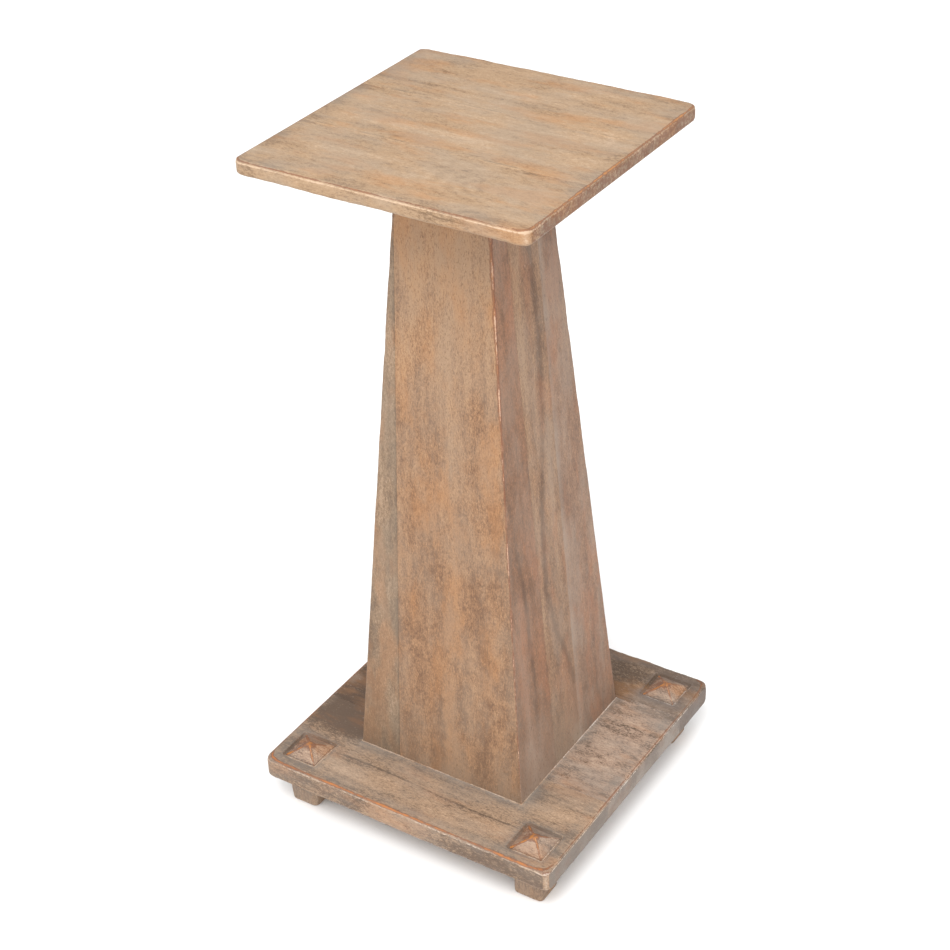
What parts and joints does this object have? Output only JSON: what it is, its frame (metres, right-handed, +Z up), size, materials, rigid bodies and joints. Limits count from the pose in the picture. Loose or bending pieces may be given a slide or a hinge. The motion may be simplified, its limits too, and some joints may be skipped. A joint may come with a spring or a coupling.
{
  "type": "pedestal stand",
  "caption": "Square wooden pedestal stand: a slab top on a tapering four-sided column, over a square base slab with pyramid studs and block feet.",
  "frame": {"origin": "on the floor, under the middle of the stand", "axes": "+Z up; -Y is the front; the boards of both slabs run along X"},
  "size_m": [0.38, 0.38, 0.809],
  "materials": {
    "top_boards": "hardwood boards with a pale limed wash, matt wax, arrises rubbed to warm wood",
    "column_front": "warm tan hardwood with a thin limed wash, matt wax",
    "column_side": "grey-brown hardwood with a thin limed wash, matt wax",
    "base_boards": "grey-washed hardwood boards, matt wax, arrises rubbed to orange wood",
    "studs": "grey-washed hardwood with ridges rubbed to orange wood",
    "feet": "grey-washed hardwood, matt wax"
  },
  "bodies": {
    "root": {"top_board_back": "top_boards", "top_board_middle": "top_boards", "top_board_front": "top_boards", "column_front_board": "column_front", "column_front_strip": "column_front", "column_right_board_front": "column_side", "column_right_board_middle": "column_side", "column_right_board_back": "column_side", "column_back_panel": "column_side", "column_left_panel": "column_front", "base_board_back": "base_boards", "base_board_middle": "base_boards", "base_board_front": "base_boards", "stud_front_left": "studs", "stud_front_right": "studs", "stud_back_right": "studs", "stud_back_left": "studs", "foot_front_left": "feet", "foot_front_right": "feet", "foot_back_right": "feet", "foot_back_left": "feet"}
  },
  "joints": []
}
